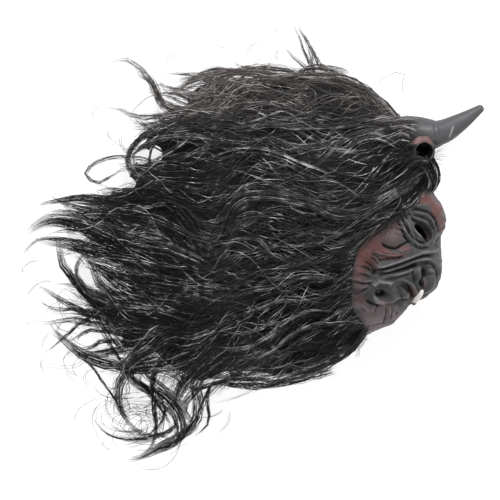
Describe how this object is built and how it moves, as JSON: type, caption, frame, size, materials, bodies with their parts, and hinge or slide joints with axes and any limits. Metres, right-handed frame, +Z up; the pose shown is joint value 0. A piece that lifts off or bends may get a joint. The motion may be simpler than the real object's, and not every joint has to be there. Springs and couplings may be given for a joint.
{
  "type": "buffalo mask",
  "caption": "Full-head latex buffalo mask lying on its side, with a wrinkled face, curved horns, short tusks and long loose hair.",
  "frame": {"origin": "centre of the flat spot under the left cheek, on which the mask rests", "axes": "+X the way the face looks, +Y from the neck to the crown, +Z up from the table, through the left cheek to the right"},
  "size_m": [0.4984, 0.4711, 0.1994],
  "materials": {
    "latex_skin": "wrinkled cast latex, grey-black paint rubbed over red-brown, satin",
    "horn": "ribbed cast latex painted slate grey, matt",
    "tusk": "off-white painted latex, satin, pinkish at the root",
    "hair": "black synthetic fibre, wavy and loose, soft sheen"
  },
  "bodies": {
    "root": {"latex_head": "latex_skin", "horn_right": "horn", "horn_left": "horn", "tusk_right": "tusk", "tusk_left": "tusk", "hair": "hair"}
  },
  "joints": []
}
